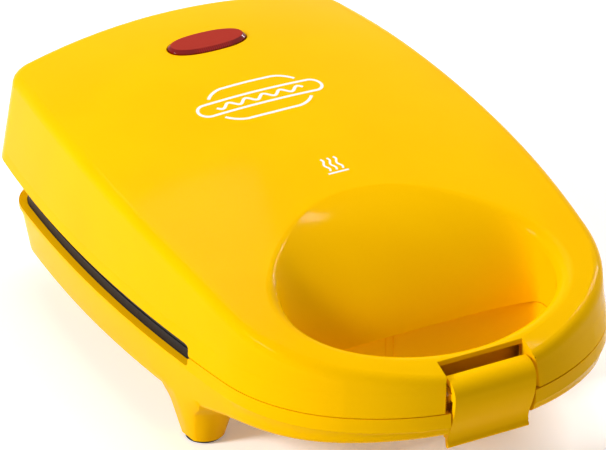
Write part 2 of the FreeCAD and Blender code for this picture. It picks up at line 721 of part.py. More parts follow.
def lower_shell():
    """Lower moulded housing with its feet."""
    taper = base_taper(0.0, 0.0)
    outer = fused([base_form(0.0, 0.0)] + [foot_post(x, y, 0.0).common(taper) for x, y in foot_places()])
    outer = outer.cut(grip_block(0.0)).cut(clip_pocket(0.0)).cut(slot_cut(BASE_SLOT_Z))
    outer = outer.cut(block(-CUT, CUT, -CUT, 2 * CUT, -SEAM_GAP / 2, CUT))
    hollow = base_form(WALL, 1.0).cut(grip_block(WALL)).cut(clip_pocket(WALL))
    shell = outer.cut(hollow)
    floor_z = FOOT_TIP_Z + PAD_SINK + WALL
    inner_taper = base_taper(WALL, 0.0)
    for x, y in foot_places():
        inside = foot_post(x, y, -WALL).cut(block(-CUT, CUT, 0, CUT * 2, -CUT, floor_z)).common(inner_taper)
        shell = shell.cut(inside).cut(Part.makeCylinder(PAD_R + PAD_CLEAR, PAD_SINK, vec(x, y, FOOT_TIP_Z)))

    shelf_top = -(PLATE_SKIRT + SHELF_CLEAR)
    ledge = plan_slab(WALL / 2, shelf_top - SHELF_T, BASE_SLOT_Z, BASE_PLAN)
    ledge = ledge.cut(plan_slab(LEDGE_INSET, shelf_top - SHELF_T - 1, 0.0, BASE_PLAN)).cut(slot_front())
    shelf = plan_slab(WALL / 2, shelf_top - SHELF_T, shelf_top, BASE_PLAN)
    shelf = shelf.cut(shelf_opening(-CUT, 0.0))
    shelf = shelf.common(block(-CUT, CUT, PLATE_FRONT - SHELF_FRONT_RIM, CUT * 2, -CUT, 0))
    rim = ledge.fuse(shelf).common(base_form(WALL / 2, 0.0)).cut(grip_block(WALL / 2))
    tip = -(PLATE_GAP + PLATE_T + BOSS_CLEAR)
    room = base_form(WALL / 2, 0.0)
    ribs = [rib.common(base_form(0.0, 0.0)) for rib in grip_ribs()]
    posts = [boss(y, tip, BASE_REACH, SHIELD_Z_LOWER - SHIELD_T).common(room) for y in SCREW_PLACES]
    shell = fused([shell, rim] + ribs + posts + base_lugs())
    for y in SCREW_PLACES:
        shell = shell.cut(screw_hole(y, -(PLATE_GAP + PLATE_T), SCREW_LENGTH + SCREW_TIP_ROOM))
    inner = vec(0, BASE_LENGTH - GLAND_LENGTH, GLAND_Z)
    return shell.cut(Part.makeCylinder(GLAND_R + GLAND_CLEAR, CUT, inner, vec(0, 1, 0)))


def slot_front():
    """Everything in front of the side slots."""
    return block(-CUT, CUT, -CUT, SLOT_START, -CUT, CUT)


def clip_pocket(grow):
    """The flat in the base's nose behind the clip."""
    side = CLIP_HALF + CLIP_SIDE_GAP + grow
    return block(-side, side, -CUT, CATCH_Y + grow, -CUT, CUT)


def foot_pads():
    """Four rubber pads, each sunk into its foot."""
    height = SEAM_HEIGHT + FOOT_TIP_Z + PAD_SINK
    pads = [Part.makeCylinder(PAD_R, height, vec(x, y, -SEAM_HEIGHT)) for x, y in foot_places()]
    return Part.makeCompound([rounded_pad(pad) for pad in pads])


def rounded_pad(pad):
    """A pad with its lower edge eased."""
    lower = [edge for edge in pad.Edges if edge.BoundBox.ZMax < -SEAM_HEIGHT + 0.01]
    return pad.makeFillet(PAD_ROUND, lower)


# --- Cooking plates -------------------------------------------------------------------------------------

def trough_places():
    """The middle of each trough across the plate."""
    first = -TROUGH_PITCH * (TROUGH_COUNT - 1) / 2
    return [first + TROUGH_PITCH * index for index in range(TROUGH_COUNT)]


def capsule(x, radius):
    """A rod with round ends along a trough."""
    front, rear = vec(x, TROUGH_START, 0), vec(x, TROUGH_END, 0)
    rod = Part.makeCylinder(radius, TROUGH_END - TROUGH_START, front, vec(0, 1, 0))
    return rod.fuse([Part.makeSphere(radius, front), Part.makeSphere(radius, rear)])


def lower_cooking_plate():
    """Die-cast plate with four round troughs and a skirt that sits on the housing's shelf."""
    top, skirt_end = -PLATE_GAP, -PLATE_SKIRT
    sheet = plate_area(0.0, top - PLATE_T, top)
    skirt = plate_area(0.0, skirt_end, top).cut(plate_area(-SKIRT_T, skirt_end - 1, top - PLATE_T / 2))
    plate = fused([sheet, skirt] + [capsule(x, TROUGH_R + PLATE_T) for x in trough_places()])
    plate = plate.cut(block(-CUT, CUT, -CUT, 2 * CUT, top, CUT))
    for x in trough_places():
        plate = plate.cut(capsule(x, TROUGH_R))
    shank_r, head_r = SCREW_R + SCREW_CLEAR, SCREW_HEAD_R + SCREW_CLEAR
    for y in SCREW_PLACES:
        plate = plate.cut(Part.makeCylinder(shank_r, CUT, vec(0, y, -CUT / 2)))
        plate = plate.cut(Part.makeCone(shank_r, head_r, SCREW_HEAD_H, vec(0, y, top - SCREW_HEAD_H)))
    return plate


def lower_plate_screws():
    """Countersunk screws through the plate into the bosses."""
    screws = []
    top = -PLATE_GAP
    for y in SCREW_PLACES:
        head = Part.makeCone(SCREW_R, SCREW_HEAD_R, SCREW_HEAD_H, vec(0, y, top - SCREW_HEAD_H))
        shank = Part.makeCylinder(SCREW_R, SCREW_LENGTH - SCREW_HEAD_H, vec(0, y, top - SCREW_LENGTH))
        w, floor = CROSS_W / 2, top - CROSS_DEPTH
        across = block(-CROSS_HALF, CROSS_HALF, y - w, y + w, floor, top)
        along = block(-w, w, y - CROSS_HALF, y + CROSS_HALF, floor, top)
        screws.append(head.fuse(shank).cut(across).cut(along))
    return Part.makeCompound(screws)


# --- Heating --------------------------------------------------------------------------------------------

def element_z():
    """Centre line of the lower element, just under the plate."""
    return -(PLATE_GAP + PLATE_T + ELEMENT_R + SEAT_CLEAR)


def lower_heating_element():
    """Tubular element bent to a U, with a terminal pin at each end."""
    z = element_z()
    k = ELEMENT_BEND * (1 - math.sqrt(0.5))

    def at(side, inward, behind):
        return vec(side * (TROUGH_PITCH - inward), ELEMENT_FRONT + behind, z)

    ends = [vec(side * TROUGH_PITCH, ELEMENT_REAR, z) for side in (-1, 1)]
    path = Part.Wire([
        Part.LineSegment(ends[0], at(-1, 0, ELEMENT_BEND)).toShape(),
        Part.Arc(at(-1, 0, ELEMENT_BEND), at(-1, k, k), at(-1, ELEMENT_BEND, 0)).toShape(),
        Part.LineSegment(at(-1, ELEMENT_BEND, 0), at(1, ELEMENT_BEND, 0)).toShape(),
        Part.Arc(at(1, ELEMENT_BEND, 0), at(1, k, k), at(1, 0, ELEMENT_BEND)).toShape(),
        Part.LineSegment(at(1, 0, ELEMENT_BEND), ends[1]).toShape(),
    ])
    ring = Part.Wire([Part.Circle(ends[0], vec(0, 1, 0), ELEMENT_R).toShape()])
    tube = path.makePipeShell([ring], True, False)
    return fused([tube] + [Part.makeCylinder(PIN_R, PIN_LENGTH, end, vec(0, 1, 0)) for end in ends])


def lower_element_clips():
    """Sheet saddles that press the element against the plate."""
    clips = []
    z, top = element_z(), -(PLATE_GAP + PLATE_T)
    inner, outer = ELEMENT_R + CLIP_CLEAR, ELEMENT_R + CLIP_CLEAR + CLIP_T
    for side in (-1, 1):
        x = side * TROUGH_PITCH
        for y in CLIP_PLACES:
            y0 = y - CLIP_LENGTH / 2
            solid = fused([Part.makeCylinder(outer, CLIP_LENGTH, vec(x, y0, z), vec(0, 1, 0)),
                           block(x - outer, x + outer, y0, y0 + CLIP_LENGTH, z, top)])
            room = fused([Part.makeCylinder(inner, CLIP_LENGTH, vec(x, y0, z), vec(0, 1, 0)),
                          block(x - inner, x + inner, y0, y0 + CLIP_LENGTH, z, top)])
            above = block(x - 2 * outer, x + 2 * outer, y0 - 1, y0 + CLIP_LENGTH + 1, top - SEAT_CLEAR, 0.0)
            clips.append(solid.cut(room).cut(above))
    return Part.makeCompound(clips)


def heat_shield(z):
    """Flat bright reflector with rounded corners and a hole round each boss."""
    sheet = block(-SHIELD_HALF, SHIELD_HALF, SHIELD_FRONT, SHIELD_REAR, z, z + SHIELD_T)
    corners = [e for e in sheet.Edges if e.BoundBox.ZLength > SHIELD_T / 2]
    sheet = sheet.makeFillet(SHIELD_CORNER_R, corners)
    for y in SCREW_PLACES:
        sheet = sheet.cut(Part.makeCylinder(BOSS_R + SHIELD_HOLE_CLEAR, CUT, vec(0, y, z - CUT / 2)))
    return sheet


def lower_heat_shield():
    """Reflector under the lower plate, on the collars of the bosses."""
    return heat_shield(SHIELD_Z_LOWER - SHIELD_T + SEAT_CLEAR)


def upper_heat_shield():
    """Reflector over the upper plate, under the collars of the bosses."""
    return heat_shield(SHIELD_Z_UPPER - SEAT_CLEAR).cut(scoop_block(WALL + SHIELD_SCOOP_CLEAR))


def upper_cooking_plate():
    """The lower plate turned over, with a cast land for the thermostat."""
    half = THERMOSTAT_EAR / 2
    y0, y1 = THERMOSTAT_Y - THERMOSTAT_R, THERMOSTAT_Y + THERMOSTAT_R
    land = block(-half, half, y0, y1, PLATE_GAP + PLATE_T / 2, PAD_LAND_Z)
    plate = flipped(lower_cooking_plate()).fuse(land)
    for x in trough_places():
        plate = plate.cut(capsule(x, TROUGH_R))
    return plate.removeSplitter()


def upper_heating_element():
    """The same element over the upper plate."""
    return flipped(lower_heating_element())


def upper_element_clips():
    """The same saddles over the upper plate."""
    return flipped(lower_element_clips())


def upper_plate_screws():
    """The same screws in the lid's bosses."""
    return flipped(lower_plate_screws())


def thermostat():
    """Disc thermostat with its two-eared bracket, on the land of the upper plate."""
    z = PAD_LAND_Z + SEAT_CLEAR
    top = z + BRACKET_T + THERMOSTAT_H
    seat = vec(0, THERMOSTAT_Y, z + BRACKET_T)
    body = Part.makeCylinder(THERMOSTAT_R - THERMOSTAT_RIM, THERMOSTAT_H, seat)
    rim = Part.makeCylinder(THERMOSTAT_R, THERMOSTAT_RIM_H, seat)
    half = THERMOSTAT_EAR / 2
    ears = block(-half, half, THERMOSTAT_Y - BRACKET_HALF_W, THERMOSTAT_Y + BRACKET_HALF_W, z, z + BRACKET_T)
    y0 = THERMOSTAT_Y + TAB_Y
    tabs = [block(x - TAB_HALF_W, x + TAB_HALF_W, y0, y0 + TAB_T, top - TAB_ROOT, top + TAB_REACH)
            for x in (-TAB_X, TAB_X)]
    return fused([body, rim, ears] + tabs)


def thermal_fuse():
    """One-shot fuse in its case, lying between two troughs of the upper plate."""
    z = PLATE_GAP + PLATE_T + FUSE_R + SEAT_CLEAR
    y0 = FUSE_Y - FUSE_LENGTH / 2
    case = Part.makeCylinder(FUSE_R, FUSE_LENGTH, vec(0, y0, z), vec(0, 1, 0))
    ends = [edge for edge in case.Edges if edge.BoundBox.YLength < 0.01]
    case = case.makeFillet(FUSE_ROUND, ends)
    leads = Part.makeCylinder(LEAD_R, FUSE_LENGTH + 2 * FUSE_LEAD, vec(0, y0 - FUSE_LEAD, z), vec(0, 1, 0))
    return case.fuse(leads)


def terminal_block():
    """Three-way terminal block on the floor of the base."""
    floor = underside_height(UNDERSIDE[-1][0]) + WALL + SEAT_CLEAR
    x0 = TERMINAL_X - TERMINAL_W / 2
    y0 = TERMINAL_Y - TERMINAL_D / 2
    body = block(x0, x0 + TERMINAL_W, y0, y0 + TERMINAL_D, floor, floor + TERMINAL_H)
    pitch = TERMINAL_W / TERMINAL_WAYS
    half = TERMINAL_SLIT / 2
    middle = floor + TERMINAL_H / 2
    for way in range(TERMINAL_WAYS):
        x = x0 + pitch * (way + 0.5)
        body = body.cut(Part.makeCylinder(TERMINAL_BORE_R, TERMINAL_D, vec(x, y0, middle), vec(0, 1, 0)))
        body = body.cut(Part.makeCylinder(TERMINAL_SCREW_R, TERMINAL_H, vec(x, TERMINAL_Y, middle)))
    for way in range(1, TERMINAL_WAYS):
        x = x0 + pitch * way
        body = body.cut(block(x - half, x + half, 0, CUT * 2, floor + TERMINAL_SLIT_FLOOR, floor + CUT))
    return body


def cord_gland():
    """Rubber grommet in the rear wall, where the lead comes in."""
    inner, along = vec(0, BASE_LENGTH - GLAND_LENGTH, GLAND_Z), vec(0, 1, 0)
    core = Part.makeCylinder(GLAND_R, GLAND_LENGTH, inner, along)
    outside = Part.makeCylinder(GLAND_FLANGE_R, GLAND_LENGTH, inner, along).cut(base_form(-SEAT_CLEAR, 0.0))
    inside = Part.makeCylinder(GLAND_RING_R, GLAND_LENGTH, inner, along)
    inside = inside.common(base_form(WALL + SEAT_CLEAR, 0.0))
    bore = Part.makeCylinder(GLAND_BORE_R, CUT * 2, vec(0, 0, GLAND_Z), along)
    return fused([core, outside, inside]).cut(bore)


def hinge_pins():
    """Headed steel pins through the lugs and knuckles."""
    pins = []
    length = LID_KNUCKLE_W + 2 * (KNUCKLE_GAP + BASE_KNUCKLE_W)
    for side in (-1, 1):
        outward = vec(side, 0, 0)
        inner = vec(side * (HINGE_X - length / 2), HINGE_Y, HINGE_Z)
        outer = vec(side * (HINGE_X + length / 2), HINGE_Y, HINGE_Z)
        pins.append(fused([Part.makeCylinder(HINGE_PIN_R, length, inner, outward),
                           Part.makeCylinder(PIN_HEAD_R, PIN_HEAD_T, outer, outward)]))
    return Part.makeCompound(pins)


# --- Lamp -----------------------------------------------------------------------------------------------

def lamp_lens():
    """Oval lens: a flat face with a bevelled rim that stands out of the lid, and a flange under the crown."""
    top = lens_top()
    face = Part.Face(lens_wire(0.0, top - LENS_DEPTH)).extrude(vec(0, 0, LENS_DEPTH))
    rim = [edge for edge in face.Edges if edge.BoundBox.ZMin > top - 0.1]
    body = face.makeChamfer(LENS_BEVEL, rim)
    under = crown_block(WALL + LENS_FLANGE_T)
    body = body.cut(under)
    flange = Part.Face(lens_wire(LENS_FLANGE, top - LENS_DEPTH)).extrude(vec(0, 0, LENS_DEPTH))
    flange = flange.common(crown_block(WALL + SEAT_CLEAR)).cut(under)
    room = Part.Face(lens_wire(-LENS_T, 0.0)).extrude(vec(0, 0, top - LENS_T))
    return body.fuse(flange).cut(room)


def lamp_axis_z():
    """Height of the lamp's axis."""
    return lens_top() - LAMP_DROP


def lamp_holder():
    """Bracket that hangs under the lens's flange and carries the lamp and its resistor."""
    half, depth = LENS_HALF_X + LENS_FLANGE, HOLDER_DEPTH / 2
    floor = lamp_axis_z() - LAMP_R - SEAT_CLEAR
    low_half = half - HOLDER_EAR
    y0, y1 = LENS_Y - depth, LENS_Y + depth
    ear_z = crown_height(LENS_Y) - WALL - LENS_FLANGE_T - HOLDER_EAR_T
    shapes = [block(-low_half, low_half, y0, y1, floor - HOLDER_T, floor)]
    for side in (-1, 1):
        x0, x1 = sorted((side * low_half, side * (low_half - HOLDER_T)))
        shapes.append(block(x0, x1, y0, y1, floor - HOLDER_T, CUT))
        x0, x1 = sorted((side * (low_half - HOLDER_T), side * half))
        shapes.append(block(x0, x1, y0, y1, ear_z, CUT))
    return fused(shapes).common(crown_block(WALL + LENS_FLANGE_T + SEAT_CLEAR))


def rod_with_leads(radius, length, y, z):
    """A small component lying across, with a lead at each end."""
    rod = Part.makeCylinder(radius, length, vec(-length / 2, y, z), vec(1, 0, 0))
    ends = [edge for edge in rod.Edges if edge.BoundBox.XLength < 0.01]
    rod = rod.makeFillet(radius * ROD_ROUND, ends)
    reach = length / 2 + LEAD_LENGTH
    return rod.fuse(Part.makeCylinder(LEAD_R, 2 * reach, vec(-reach, y, z), vec(1, 0, 0)))


def lamp_bulb():
    """Small neon lamp."""
    return rod_with_leads(LAMP_R, LAMP_LENGTH, LENS_Y - HOLDER_DEPTH / 2 + LAMP_R, lamp_axis_z())


def lamp_resistor():
    """The lamp's series resistor in its sleeve."""
    z = lamp_axis_z() - LAMP_R + RESISTOR_R
    return rod_with_leads(RESISTOR_R, RESISTOR_LENGTH, LENS_Y + HOLDER_DEPTH / 2 - RESISTOR_R, z)


# --- Clip -----------------------------------------------------------------------------------------------

def clip_pin(grow):
    """The clip's pin across the pocket and through its side walls."""
    half = CLIP_HALF + CLIP_SIDE_GAP + WALL
    return Part.makeCylinder(CLIP_PIN_R + grow, 2 * half, vec(-half, CLIP_AXIS_Y, CLIP_AXIS_Z), vec(1, 0, 0))


def latch_pin():
    """Steel pin, held in the lid."""
    return clip_pin(0.0)


def clip_profile():
    """Side view of the clip's curved wall."""
    def polar(radius, degrees):
        turn = math.radians(degrees)
        return vec(0, CLIP_AXIS_Y + radius * math.cos(turn), CLIP_AXIS_Z + radius * math.sin(turn))

    inner_r = CLIP_TOP_R - CLIP_WALL
    middle = (CLIP_TOP_END + 180.0) / 2
    face = Part.BSplineCurve()
    face.interpolate(Points=[vec(0, y, z) for y, z in CLIP_FACE], InitialTangent=vec(0, 0, -1),
                     FinalTangent=vec(0, *CLIP_TIP_RUN))
    steps = 12
    inside = []
    low, high = face.FirstParameter, face.LastParameter
    for index in range(steps + 1):
        at = low + (high - low) * index / steps
        point = face.value(at)
        run = vec(*face.tangent(at)[0])
        inside.append(point.add(vec(0, -run.z, run.y).multiply(CLIP_WALL)))
    back = Part.BSplineCurve()
    inside.reverse()
    back.interpolate(Points=inside, FinalTangent=vec(0, 0, 1))
    tip, heel = face.value(high), inside[0]
    end = tip.add(heel).multiply(0.5).add(vec(*face.tangent(high)[0]).multiply(CLIP_WALL / 2))
    outer_end, inner_end = polar(CLIP_TOP_R, CLIP_TOP_END), polar(inner_r, CLIP_TOP_END)
    nose = polar((CLIP_TOP_R + inner_r) / 2, CLIP_TOP_END - math.degrees(CLIP_WALL / 2 / CLIP_TOP_R))
    return Part.Face(Part.Wire([
        Part.Arc(inner_end, nose, outer_end).toShape(),
        Part.Arc(outer_end, polar(CLIP_TOP_R, middle), polar(CLIP_TOP_R, 180.0)).toShape(),
        face.toShape(),
        Part.Arc(tip, end, heel).toShape(),
        back.toShape(),
        Part.Arc(polar(inner_r, 180.0), polar(inner_r, middle), inner_end).toShape(),
    ]))


def latch_clip():
    """Sprung clip: a rolled top round the pin, a curved face and a hook under the base's nose."""
    wall = clip_profile().extrude(vec(2 * CLIP_HALF, 0, 0))
    wall.translate(vec(-CLIP_HALF, 0, 0))
    end, along = vec(-CLIP_HALF, CLIP_AXIS_Y, CLIP_AXIS_Z), vec(1, 0, 0)
    bar = Part.makeCylinder(CLIP_BARREL_R, 2 * CLIP_HALF, end, along)
    web = block(-CLIP_HALF, CLIP_HALF, CLIP_AXIS_Y - CLIP_TOP_R + CLIP_WALL / 2, CLIP_AXIS_Y,
                CLIP_AXIS_Z - CLIP_WEB_T / 2, CLIP_AXIS_Z + CLIP_WEB_T / 2)
    hook_top = underside_height(CATCH_Y) - HOOK_DROP
    hook_root = CLIP_FACE[-3][0] + CLIP_WALL / 2
    hook = block(-CLIP_HALF, CLIP_HALF, hook_root, CATCH_Y - CATCH_CLEAR, hook_top - HOOK_T, hook_top)
    clip = fused([wall, bar, web, hook])
    return clip.cut(Part.makeCylinder(CLIP_PIN_R + CLIP_PIN_CLEAR, 2 * CLIP_HALF, end, along))


# --- Export ---------------------------------------------------------------------------------------------

PIECES = [
    lower_shell,
    lower_cooking_plate,
    lower_plate_screws,
    lower_heating_element,
    lower_element_clips,
    lower_heat_shield,
    terminal_block,
    cord_gland,
    foot_pads,
    hinge_pins,
    upper_shell,
    upper_cooking_plate,
    upper_plate_screws,
    upper_heating_element,
    upper_element_clips,
    upper_heat_shield,
    thermostat,
    thermal_fuse,
    lamp_lens,
    lamp_holder,
    lamp_bulb,
    lamp_resistor,
    latch_pin,
    latch_clip,
]

os.makedirs("parts", exist_ok=True)
footprint_middle = (CLIP_AXIS_Y - CLIP_TOP_R + LID_LENGTH) / 2
for piece in PIECES:
    shape = piece()
    shape.translate(vec(0, -footprint_middle, SEAM_HEIGHT))
    shape.exportStep("parts/" + piece.__name__ + ".step")
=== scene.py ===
import math

import bpy
from mathutils import Matrix, Vector


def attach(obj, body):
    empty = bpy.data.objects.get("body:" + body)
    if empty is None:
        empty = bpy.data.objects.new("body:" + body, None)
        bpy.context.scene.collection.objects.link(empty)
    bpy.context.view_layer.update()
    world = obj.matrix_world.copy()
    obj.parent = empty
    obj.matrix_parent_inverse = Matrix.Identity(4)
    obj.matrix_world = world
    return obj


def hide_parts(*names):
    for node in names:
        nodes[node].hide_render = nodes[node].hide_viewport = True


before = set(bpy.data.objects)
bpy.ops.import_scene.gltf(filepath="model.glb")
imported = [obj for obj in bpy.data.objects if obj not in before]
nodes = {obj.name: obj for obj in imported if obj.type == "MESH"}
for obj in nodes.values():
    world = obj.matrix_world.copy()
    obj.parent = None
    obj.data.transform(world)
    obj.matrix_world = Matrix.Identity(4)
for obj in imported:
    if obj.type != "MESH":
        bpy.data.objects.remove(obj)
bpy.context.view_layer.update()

# ---- Lower housing -------------------------------------------------------------------------------------
# The pan that stands on the table: one injection moulding in glossy yellow plastic, with four tapered
# feet, the lower half of the ring grip and the hinge lugs. The polished mould blends the feet and the
# underside of the nose softly into its walls.
MM = 0.001
scene = bpy.context.scene
YELLOW, YELLOW_DEEP = (0.97, 0.52, 0.0), (0.95, 0.495, 0.0)
WELD_DISTANCE = 0.00001 * MM
SAME_DIRECTION = 0.999                                    # cosine between two directions taken as one
NOSE_REGION = (-0.09, -0.15, 0.0), (0.09, -0.08, 0.042)   # lowest and highest corner, in metres
NOSE_BLEND = 40.0                                         # creases up to this many degrees are blended
FEET_REGION = (-0.09, -0.08, 0.0), (0.09, 0.15, 0.034)
FEET_BLEND = 62.0


class Value:
    """A number or colour that changes over a surface, written with ordinary arithmetic."""

    def __init__(self, shading, socket):
        self.shading, self.socket = shading, socket

    def _do(self, operation, *terms):
        made = self.shading.node("ShaderNodeMath", dict(operation=operation), dict(enumerate(terms)))
        return Value(self.shading, made.outputs[0])

    def __radd__(self, other):
        return self._do("ADD", other, self)

    def __add__(self, other):
        return self._do("ADD", self, other)

    def __rsub__(self, other):
        return self._do("SUBTRACT", other, self)

    def __mul__(self, other):
        return self._do("MULTIPLY", self, other)

    def __rmul__(self, other):
        return self._do("MULTIPLY", other, self)

    def larger(self, other):
        return self._do("MAXIMUM", self, other)


class Shading:
    """The shader nodes of a material or of the surround."""

    def __init__(self, tree):
        self.tree = tree

    def join(self, value, socket):
        """Links a value or socket to a socket, or writes a constant there."""
        value = value.socket if isinstance(value, Value) else value
        if isinstance(value, bpy.types.NodeSocket):
            self.tree.links.new(value, socket)
        else:
            socket.default_value = value

    def node(self, kind, settings, sockets):
        """A node with its settings, and the value or link of each socket, by its name or number."""
        made = self.tree.nodes.new(kind)
        for key, value in settings.items():
            setattr(made, key, value)
        for key, value in sockets.items():
            self.join(value, made.inputs[key])
        return made


class Paint(Shading):
    """One finish: its Principled shader and the nodes that feed it."""

    def __init__(self, name, color, roughness, **constants):
        self.material = bpy.data.materials.new(name)
        self.material.use_nodes = True
        self.material.diffuse_color = (*color, 1.0)
        super().__init__(self.material.node_tree)
        self.shader = self.tree.nodes["Principled BSDF"]
        self.feed("Base Color", (*color, 1.0))
        self.feed("Roughness", roughness)
        for socket, value in constants.items():
            self.feed(socket.replace("_", " "), value)
        self.place = self.node("ShaderNodeTexCoord", {}, {}).outputs["Object"]

    def feed(self, socket, value):
        self.join(value, self.shader.inputs[socket])

    def noise(self, scale, detail=2.0, stretch=(1.0, 1.0, 1.0)):
        """Soft noise, with its scale in features per metre."""
        at = self.node("ShaderNodeMapping", {}, dict(Vector=self.place, Scale=stretch)).outputs[0]
        made = self.node("ShaderNodeTexNoise", {}, dict(Vector=at, Scale=scale, Detail=detail))
        return Value(self, made.outputs["Fac"])

    def axes(self):
        """x, y and z of the surface point."""
        split = self.node("ShaderNodeSeparateXYZ", {}, {0: self.place})
        return [Value(self, socket) for socket in split.outputs]

    def ramp(self, value, low, high):
        """0 below low, 1 above high, smooth between."""
        made = self.node("ShaderNodeMapRange", dict(interpolation_type="SMOOTHSTEP"),
                         {0: value, 1: low, 2: high})
        return Value(self, made.outputs[0])

    def blend(self, share, first, second):
        """A colour between two colours, the second where share is 1."""
        first, second = (color if isinstance(color, Value) else (*color, 1.0) for color in (first, second))
        made = self.node("ShaderNodeMix", dict(data_type="RGBA"), {0: share, 6: first, 7: second})
        return Value(self, made.outputs[2])

    def bump(self, height, distance, strength):
        """Fine relief, with its depth in metres."""
        made = self.node("ShaderNodeBump", {}, dict(Height=height, Distance=distance, Strength=strength))
        self.feed("Normal", made.outputs[0])


def pick_only(piece):
    """Selects one piece and makes it active."""
    bpy.ops.object.select_all(action="DESELECT")
    bpy.context.view_layer.objects.active = piece
    piece.select_set(True)


def apply_modifier(piece, kind, **settings):
    """Adds a modifier and applies it."""
    modifier = piece.modifiers.new(kind.lower(), kind)
    for key, value in settings.items():
        setattr(modifier, key, value)
    pick_only(piece)
    bpy.ops.object.modifier_apply(modifier=modifier.name)


def merged(node, name):
    """A copy of a moulding as one joined skin. The directions that its true surfaces face stay in exact."""
    piece = bpy.data.objects.new(name, nodes[node].data.copy())
    scene.collection.objects.link(piece)
    exact = piece.data.attributes.new("exact", "FLOAT_VECTOR", "CORNER")
    exact.data.foreach_set("vector", [c for normal in piece.data.corner_normals for c in normal.vector])
    apply_modifier(piece, "WELD", merge_threshold=WELD_DISTANCE)
    bpy.ops.object.mode_set(mode="EDIT")
    bpy.ops.mesh.customdata_custom_splitnormals_clear()
    bpy.ops.mesh.select_mode(type="FACE")
    bpy.ops.mesh.select_all(action="DESELECT")
    bpy.ops.object.mode_set(mode="OBJECT")
    return piece


def soften(piece, region, blend):
    """Lets the light run smoothly over the creases in a region."""
    low, high = region
    exact = piece.data.attributes["exact"].data
    corners = {}
    for loop in piece.data.loops:
        at = piece.data.vertices[loop.vertex_index].co
        if all(a <= b <= c for a, b, c in zip(low, at, high)):
            corners.setdefault(loop.vertex_index, []).append(loop.index)
    for met in corners.values():
        facing = [exact[index].vector.normalized() for index in met]
        groups = []
        for normal in facing:
            if all(normal.dot(other) < SAME_DIRECTION for other in groups):
                groups.append(normal)
        for index, normal in zip(met, facing):
            near = [other for other in groups if other.dot(normal) > math.cos(math.radians(blend))]
            exact[index].vector = sum(near, Vector()).normalized()


def exact_again(piece):
    """Gives a merged moulding back the directions that its true surfaces face."""
    pick_only(piece)
    bpy.ops.object.shade_smooth()
    exact = piece.data.attributes["exact"]
    piece.data.normals_split_custom_set([item.vector.normalized() for item in exact.data])
    piece.data.attributes.remove(piece.data.attributes["exact"])


def dress(piece, paint, body, node=None):
    """Gives a new piece its finish, the body that it moves with and the node that it replaces."""
    piece.data.materials.clear()
    piece.data.materials.append(paint.material)
    piece.select_set(False)
    if node:
        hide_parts(node)
    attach(piece, body)


yellow = Paint("yellow plastic", YELLOW, 0.08, Specular_IOR_Level=0.014)
yellow.feed("Base Color", yellow.blend(yellow.ramp(yellow.noise(22.0), 0.3, 0.7), YELLOW, YELLOW_DEEP))
yellow.feed("Roughness", 0.07 + 0.03 * yellow.noise(160.0, 4.0))
yellow.bump(yellow.noise(120.0), 0.02 * MM, 0.2)

lower = merged("lower_shell", "lower_housing")
soften(lower, NOSE_REGION, NOSE_BLEND)
soften(lower, FEET_REGION, FEET_BLEND)
exact_again(lower)
dress(lower, yellow, "base", "lower_shell")

# ---- Foot pads -----------------------------------------------------------------------------------------
# Four black rubber discs pressed into the ends of the feet, so that the toaster doesn't slide. They are
# punched from sheet and have a matt, slightly pitted surface.
PAD_BLACK = (0.012, 0.012, 0.013)


def coat(node, paint):
    """Gives a node its finish."""
    nodes[node].data.materials.clear()
    nodes[node].data.materials.append(paint.material)


pad_rubber = Paint("pad rubber", PAD_BLACK, 0.75, Specular_IOR_Level=0.3)
pad_rubber.feed("Roughness", 0.6 + 0.3 * pad_rubber.noise(1400.0, 3.0))
pad_rubber.bump(pad_rubber.noise(2600.0, 3.0), 0.05 * MM, 0.5)
coat("foot_pads", pad_rubber)

# ---- Cooking plates ------------------------------------------------------------------------------------
# Two die-cast plates with four half-round troughs each, sprayed with a dark non-stick coating that has a
# fine mottle and a low sheen.
COATING, COATING_DARK, COATING_LIGHT = (0.02, 0.02, 0.023), (0.010, 0.010, 0.013), (0.026, 0.025, 0.029)

coating = Paint("non-stick coating", COATING, 0.4, Specular_IOR_Level=0.15)
mottle = coating.noise(1800.0, 4.0)
coating.feed("Base Color", coating.blend(coating.ramp(mottle, 0.35, 0.75), COATING_DARK, COATING_LIGHT))
coating.feed("Roughness", 0.34 + 0.16 * coating.noise(420.0, 3.0))
coating.bump(mottle, 0.03 * MM, 0.35)
coat("lower_cooking_plate", coating)
coat("upper_cooking_plate", coating)

# ---- Plate screws --------------------------------------------------------------------------------------
# Cross-head countersunk screws in bright steel, two through the middle web of each plate. They hold the
# plates on the bosses of the housings.
SCREW_STEEL = (0.62, 0.62, 0.64)
TURNING_STRETCH = (1.0, 1.0, 6.0)


def turned(name, color, roughness):
    """Metal with fine turning or drawing marks."""
    metal = Paint(name, color, roughness, Metallic=1.0)
    marks = metal.noise(900.0, 3.0, TURNING_STRETCH)
    metal.feed("Roughness", roughness - 0.08 + 0.16 * marks)
    metal.bump(marks, 0.01 * MM, 0.3)
    return metal


screw_steel = turned("screw steel", SCREW_STEEL, 0.3)
coat("lower_plate_screws", screw_steel)
coat("upper_plate_screws", screw_steel)

# ---- Heating elements, saddles and reflectors ----------------------------------------------------------
# A sheathed tubular element bent to a U under each plate, tinted by heat, pressed on by sheet saddles,
# with a bright rolled aluminium reflector between it and the housing.
SHEATH, SHEATH_BROWN, SHEATH_BLUE = (0.2, 0.17, 0.14), (0.24, 0.21, 0.18), (0.13, 0.12, 0.15)
SADDLE_STEEL = (0.58, 0.58, 0.58)
ALUMINIUM = (0.8, 0.8, 0.8)
ROLLING_STRETCH = (14.0, 1.0, 1.0)

